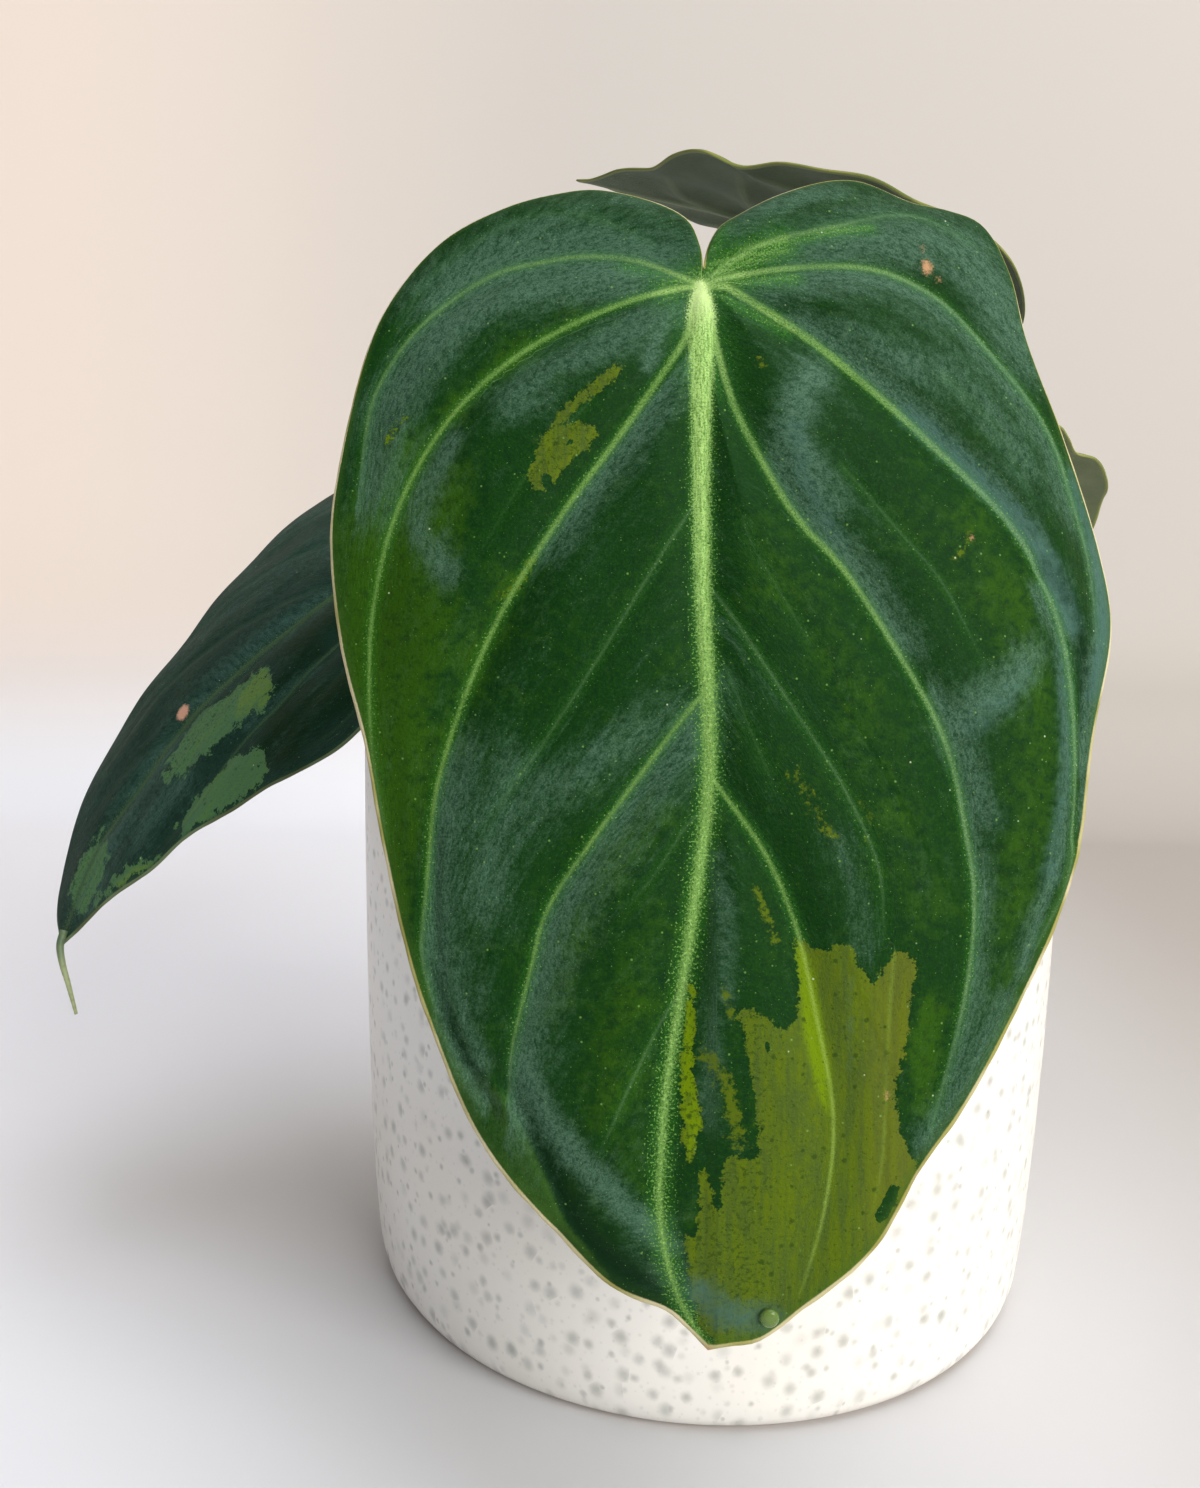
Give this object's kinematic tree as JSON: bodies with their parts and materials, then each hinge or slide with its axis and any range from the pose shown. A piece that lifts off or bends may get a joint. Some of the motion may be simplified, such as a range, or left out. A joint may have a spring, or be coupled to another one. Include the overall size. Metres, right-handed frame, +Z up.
{
  "type": "potted house plant",
  "caption": "Variegated velvet-leaved philodendron: heart-shaped drooping leaves on thin stalks from a ringed stem, in a round glazed pot.",
  "frame": {"origin": "middle of the pot's flat base", "axes": "+Z up; the largest leaf hangs in front of the pot towards -Y; the second leaf leans out over the rim towards -X"},
  "size_m": [0.1844, 0.175, 0.1804],
  "materials": {
    "glaze": "smooth off-white glaze with soft grey-green speckles over stoneware",
    "soil": "rough dark mix of bark, peat and pumice",
    "stem": "satin green stem with paler ring scars",
    "stalk": "satin pale green leaf stalk",
    "leaf_front": "velvety dark green with lime veins, olive-lime variegation and a thin pale margin",
    "leaf_left": "velvety blue-green with pale green variegation and veins",
    "leaf_back": "dull grey-green underside, velvety dark green upper face"
  },
  "bodies": {
    "root": {"pot": "glaze", "soil": "soil", "stem": "stem", "stalk_front": "stalk", "stalk_left": "stalk", "stalk_rear": "stalk", "stalk_right": "stalk", "leaf_front": "leaf_front", "leaf_left": "leaf_left", "leaf_rear": "leaf_back", "leaf_right": "leaf_back"}
  },
  "joints": []
}
